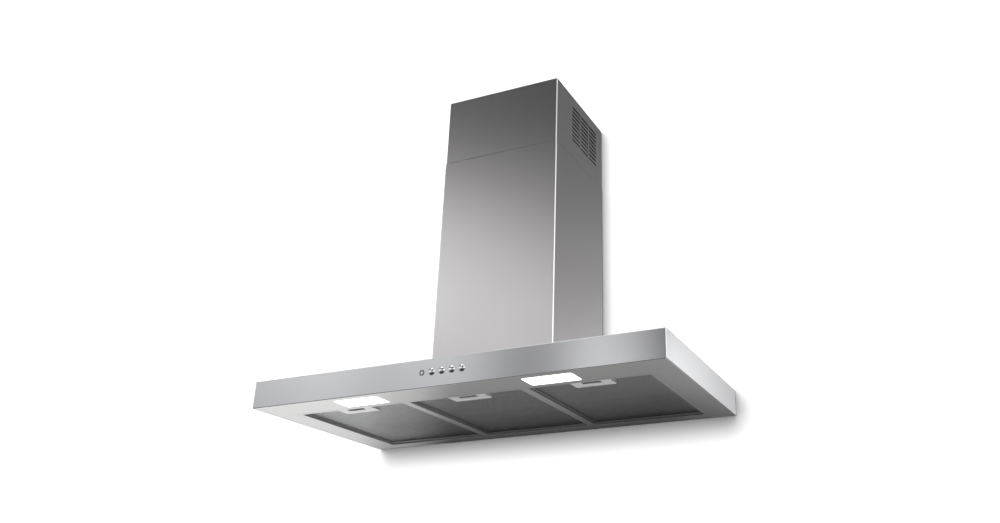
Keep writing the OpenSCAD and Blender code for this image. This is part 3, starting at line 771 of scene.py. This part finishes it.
def indicator():
    """Thin satin ring round a small recessed diffuser."""
    low, high = box("indicator_ring")
    x, z = (low[0] + high[0]) / 2, (low[2] + high[2]) / 2
    depth = high[1] - low[1]
    bm = bmesh.new()
    lathe(bm, [(3.4, 0.35), (3.7, 0.05), (4.4, 0.0), (5.2, 0.1), (5.5, 0.4), (5.6, 0.79),
               (4.9, 0.8), (4.9, depth), (3.4, depth), (3.4, 0.35)], (x, low[1], z),
          Vector((0, 1, 0)), 48)
    tidy(bm)
    piece("ring_of_indicator", bm, ["indicator_ring"], RING, 0.0)
    low, high = box("indicator_lens")
    depth = high[1] - low[1]
    radius = (high[0] - low[0]) / 2
    bm = bmesh.new()
    lathe(bm, [(0, 0), (radius * 0.5, 0.08), (radius * 0.85, 0.3), (radius, 0.7), (radius, depth),
               (0, depth)], (x, low[1], z), Vector((0, 1, 0)), 40)
    tidy(bm)
    piece("lens_of_indicator", bm, ["indicator_lens"], INDICATOR, 0.0)


# ---------------------------------------------------------------- the hood

canopy()
underside()
ledge()
cover("lower_cover", "lower_chimney", STEEL_TALL, 3.0, corner_notches)
cover("upper_cover_sheet", "upper_chimney", STEEL_TALL, 2.8, grille)
seam_shade_strips()
for place in SIDES:
    filter_pack(place)
    filter_channel(place)
    coil(place)
    refine("filter_handle_" + place, HANDLE, 0.45, segments=3)
    # The slider's dark lacquer is painted shade in the finger recess.
    refine("latch_slider_" + place, SLIDER_PAINTED_SHADE, 0.3)
for place in ("left", "right"):
    lens(place)
for place in ("light", "low", "medium", "high"):
    button(place)
indicator()

CARRIED = {
    "rear_panel": ("galvanised", GALVANISED, 0.2),
    "hang_bracket_left": ("galvanised", GALVANISED, 0.3),
    "hang_bracket_right": ("galvanised", GALVANISED, 0.3),
    "chimney_feet": ("galvanised", GALVANISED, 0.25),
    "upper_bracket": ("galvanised", GALVANISED, 0.25),
    "grille_baffle_left": ("black_plastic", PLASTIC, 0.4),
    "grille_baffle_right": ("black_plastic", PLASTIC, 0.4),
    "blower_box": ("galvanised", GALVANISED, 0.25),
    "upper_screws": ("zinc_screws", ZINC, 0.25),
    "blower_screws": ("zinc_screws", ZINC, 0.25),
    "foot_screws": ("zinc_screws", ZINC, 0.25),
    "lamp_housing_left": ("lamp_tray", TRAY, 0.2),
    "lamp_housing_right": ("lamp_tray", TRAY, 0.2),
    "led_board_left": ("circuit_board", BOARD, 0.15),
    "led_board_right": ("circuit_board", BOARD, 0.15),
    "control_board": ("circuit_board", BOARD, 0.15),
    "led_driver": ("black_plastic", PLASTIC, 0.8),
    "control_housing": ("black_plastic", PLASTIC, 0.4),
    "scroll_left": ("black_plastic", PLASTIC, 0.4),
    "scroll_right": ("black_plastic", PLASTIC, 0.4),
    "fan_wheel": ("black_plastic", PLASTIC, 0.15),
    "outlet_collar": ("black_plastic", PLASTIC, 0.4),
    "damper_flap_front": ("black_plastic", PLASTIC, 0.2),
    "damper_flap_rear": ("black_plastic", PLASTIC, 0.2),
    "junction_box": ("black_plastic", PLASTIC, 0.8),
    "cable_gland": ("black_plastic", PLASTIC, 0.4),
    "damper_pins": ("spring_steel", SPRING, 0.15),
    "motor_shaft": ("spring_steel", SPRING, 0.3),
    "motor": ("motor_metal", MOTOR, 0.8),
    "motor_bracket": ("galvanised", GALVANISED, 0.2),
    "capacitor": ("motor_metal", TRAY, 0.8),
}
for node, (slot, material, edge) in CARRIED.items():
    refine(node, material, edge)

# ---------------------------------------------------------------- studio

FLOOR_Z = -1.6
WALL_Y = 0.002


def lit_by_sun(obj, name, strength, spread, direction):
    """Gives one part of the stage a soft directional light of its own."""
    receivers = bpy.data.collections.new(name + "_receivers")
    receivers.objects.link(obj)
    light = bpy.data.lights.new(name, "SUN")
    light.energy = strength
    light.angle = math.radians(spread)
    sun = bpy.data.objects.new(name, light)
    sun.rotation_mode = "QUATERNION"
    sun.rotation_quaternion = Vector(direction).to_track_quat("-Z", "Y")
    sun.light_linking.receiver_collection = receivers
    bpy.context.scene.collection.objects.link(sun)


def staged(name, bm, material):
    """Stage object from a bmesh: matt, and not mirrored in the steel."""
    mesh = bpy.data.meshes.new(name)
    bm.to_mesh(mesh)
    bm.free()
    mesh.materials.append(material)
    obj = bpy.data.objects.new(name, mesh)
    obj.visible_glossy = False
    bpy.context.scene.collection.objects.link(obj)
    return obj


def one_sided(name, kind, inputs):
    """Stage material of one shader, clear from behind."""
    material = bpy.data.materials.new(name)
    material.use_nodes = True
    tree = material.node_tree
    tree.nodes.clear()
    shader = add(tree, kind, inputs(tree))
    tree.links.new(shader.outputs[0], add(tree, "OutputMaterial").inputs["Surface"])
    clear_behind(material)
    return material


def clear_behind(material):
    """Makes a stage surface clear from behind, so that it never hides the hood from there."""
    tree = material.node_tree
    output = next(node for node in tree.nodes if node.type == "OUTPUT_MATERIAL")
    surface = output.inputs["Surface"].links[0].from_socket
    clear = add(tree, "BsdfTransparent")
    behind = add(tree, "NewGeometry").outputs["Backfacing"]
    mixed = add(tree, "MixShader", {0: behind, 1: surface, 2: clear.outputs[0]})
    tree.links.new(mixed.outputs[0], output.inputs["Surface"])


def studio_floor():
    """Pale floor well below the hood, clear from below."""
    clear_behind(FLOOR)
    bm = bmesh.new()
    bmesh.ops.create_grid(bm, x_segments=8, y_segments=8, size=9.0,
                          matrix=Matrix.Translation((0, 0, FLOOR_Z)))
    lit_by_sun(staged("floor", bm, FLOOR), "floor_light", 5.0, 60, (0.0, 0.0, -1.0))


def studio_wall():
    """Pale wall that the hood hangs on, lit by its own sun and clear from behind."""
    material = one_sided("studio_wall", "BsdfPrincipled", lambda tree: {
        "Base Color": (0.28, 0.28, 0.28, 1.0), "Roughness": 0.9})
    bm = bmesh.new()
    corners = [(-5.0, WALL_Y, FLOOR_Z), (5.0, WALL_Y, FLOOR_Z), (5.0, WALL_Y, 3.4),
               (-5.0, WALL_Y, 3.4)]
    bm.faces.new([bm.verts.new(c) for c in corners])
    lit_by_sun(staged("wall", bm, material), "wall_light", 9.6, 10.0, (0.04, 1.0, -0.065))


def shaded_card():
    """Upright card on the wall below the hood, seen only by reflections in the underside.

    It is dark just below the hood, as the wall is in its shade, and brighter at the left."""
    def level(tree):
        place = add(tree, "SeparateXYZ", {"Vector": add(tree, "TexCoord").outputs["Object"]})
        shade = curve(tree, place.outputs["Z"], -1.0, 0.0, [
            (-1.0, 0.5), (-0.3, 0.44), (-0.11, 0.36), (-0.04, 0.15), (0.0, 0.08)])
        left = curve(tree, place.outputs["X"], -1.0, 1.0, [
            (-0.54, 0.72), (-0.4, 0.36), (-0.24, 0.0), (0.25, 0.0), (0.6, 0.2)])
        return {"Strength": combine(tree, "ADD", shade, left)}

    material = one_sided("shaded_card", "Emission", level)
    bm = bmesh.new()
    y = WALL_Y / 2
    bm.faces.new([bm.verts.new(c) for c in ((-1.8, y, -1.0), (1.4, y, -1.0), (1.4, y, 0.0),
                                            (-1.8, y, 0.0))])
    card = staged("shaded_card", bm, material)
    card.visible_glossy = True
    for ray in ("camera", "diffuse", "shadow", "transmission"):
        setattr(card, "visible_" + ray, False)


def curve(tree, value, low, high, stops):
    """Grey level read off a soft curve of (position, level) stops."""
    ramp = add(tree, "ValToRGB", {"Fac": remap(tree, value, low, high, 0.0, 1.0)})
    ramp.color_ramp.interpolation = "EASE"
    span = high - low
    elements = ramp.color_ramp.elements
    while len(elements) < len(stops):
        elements.new(0.5)
    for element, (position, level) in zip(elements, stops):
        element.position = (position - low) / span
        element.color = (level, level, level, 1.0)
    return ramp.outputs["Color"]


def combine(tree, kind, a, b):
    """Two grey levels added or multiplied."""
    return add(tree, "Math", {0: a, 1: b}, operation=kind).outputs["Value"]


def studio_world():
    """Studio surround that the steel mirrors, which the camera sees as plain white.

    Each (degrees, level) list is bright and dark panels by height or by bearing: a set in front,
    a strip behind the right side and a panel at the right, brighter overhead."""
    world = bpy.data.worlds.new("studio")
    bpy.context.scene.world = world
    world.use_nodes = True
    tree = world.node_tree
    tree.nodes.clear()
    ray = add(tree, "SeparateXYZ", {"Vector": add(tree, "TexCoord").outputs["Generated"]})
    degree = math.degrees(1)
    height = combine(tree, "MULTIPLY",
                     add(tree, "Math", {0: ray.outputs["Z"]}, operation="ARCSINE").outputs[0],
                     degree)
    bearing = combine(tree, "MULTIPLY",
                      add(tree, "Math", {0: ray.outputs["X"], 1: ray.outputs["Y"]},
                          operation="ARCTAN2").outputs[0], degree)
    front_walls = curve(tree, height, -90, 90, [
        (-90, 0.04), (-12, 0.05), (-2, 0.36), (9, 0.46), (18, 0.84), (31.5, 0.05), (40, 0.05),
        (50, 0.7), (70, 1.0)])
    low_panels = curve(tree, bearing, -180, 0, [
        (-180, 0.4), (-163.5, 0.0), (-157.6, 1.1), (-153.3, 0.12), (-148, 0.66), (-143.2, 0.42),
        (-141, 0.74), (-136.5, 0.5), (-90, 0.7)])
    high_panels = curve(tree, bearing, -180, 0, [
        (-180, 0.02), (-161, 0.05), (-140, 1.5), (-120, 1.4), (-90, 1.0)])
    panels = add(tree, "Mix", {"Factor": remap(tree, height, 17, 27, 0.0, 1.0),
                               "A": low_panels, "B": high_panels},
                 data_type="FLOAT").outputs["Result"]
    front = combine(tree, "MULTIPLY", front_walls, panels)
    front = combine(tree, "MULTIPLY", front, 1.12)
    rear_walls = curve(tree, height, -90, 90, [
        (-90, 0.25), (-30, 0.2), (-5, 0.26), (12, 0.24), (33, 0.07), (52, 0.06), (70, 0.8)])
    strip = curve(tree, bearing, -20, 60, [
        (12, 0.0), (15.2, 0.0), (18.6, 0.92), (20.5, 0.85), (23, 0.0)])
    strip_height = curve(tree, height, -30, 60, [(-12, 0.0), (-2, 1.0), (15, 1.0), (22, 0.2),
                                                 (28, 0.0)])
    strip = combine(tree, "MULTIPLY", strip, strip_height)
    rear = combine(tree, "ADD", rear_walls, strip)
    right_panel = curve(tree, bearing, 0, 180, [(52, 0.0), (66, 0.66), (140, 0.66), (156, 0.0)])
    right_height = curve(tree, height, -30, 90, [(-10, 0.0), (5, 1.0), (42, 1.0), (60, 0.0)])
    right = combine(tree, "MULTIPLY", right_panel, right_height)
    to_front = remap(tree, ray.outputs["Y"], 0.25, -0.25, 0.0, 1.0)
    level = add(tree, "Mix", {"Factor": to_front, "A": rear, "B": front},
                data_type="FLOAT").outputs["Result"]
    level = combine(tree, "MULTIPLY", combine(tree, "ADD", level, right), 2.0)
    surround = add(tree, "Background", {"Color": (1.0, 0.995, 0.997, 1.0), "Strength": level})
    plain = add(tree, "Background", {"Color": (1.0, 1.0, 1.0, 1.0), "Strength": 1.0})
    seen = add(tree, "LightPath").outputs["Is Camera Ray"]
    mixed = add(tree, "MixShader", {0: seen, 1: surround.outputs[0], 2: plain.outputs[0]})
    output = add(tree, "OutputWorld")
    tree.links.new(mixed.outputs[0], output.inputs["Surface"])


def softbox(name, place, aim, size, power):
    """Large soft lamp that lights matt surfaces and is not mirrored in the steel."""
    light = bpy.data.lights.new(name, "AREA")
    light.shape = "RECTANGLE"
    light.size, light.size_y = size
    light.energy = power
    obj = bpy.data.objects.new(name, light)
    obj.location = place
    obj.rotation_mode = "QUATERNION"
    obj.rotation_quaternion = (Vector(aim) - Vector(place)).to_track_quat("-Z", "Y")
    obj.visible_glossy = False
    bpy.context.scene.collection.objects.link(obj)


def studio_camera():
    """Camera below the hood and to its right, looking up at it as in the photograph."""
    data = bpy.data.cameras.new("camera")
    data.sensor_width = 36.0
    data.lens = 33.779
    data.shift_x, data.shift_y = -0.0969, -0.0044
    data.clip_end = 60.0
    data.dof.use_dof = False
    obj = bpy.data.objects.new("camera", data)
    turn, tilt, roll = math.radians(22.88), math.radians(23.14), math.radians(-0.07)
    obj.matrix_world = (Matrix.Translation((0.9386, -1.9179, -0.4715))
                        @ Matrix.Rotation(turn, 4, "Z")
                        @ Matrix.Rotation(math.pi / 2 + tilt, 4, "X")
                        @ Matrix.Rotation(roll, 4, "Z"))
    bpy.context.scene.collection.objects.link(obj)
    bpy.context.scene.camera = obj


studio_floor()
studio_wall()
shaded_card()
studio_world()
softbox("overhead", (0.0, -1.2, 2.6), (0, 0, 0), (2.6, 2.0), 40.0)
softbox("front_left", (-2.4, -2.6, -0.4), (0, -0.2, 0.1), (2.0, 2.0), 35.0)
studio_camera()
bpy.context.scene.view_settings.view_transform = "Standard"
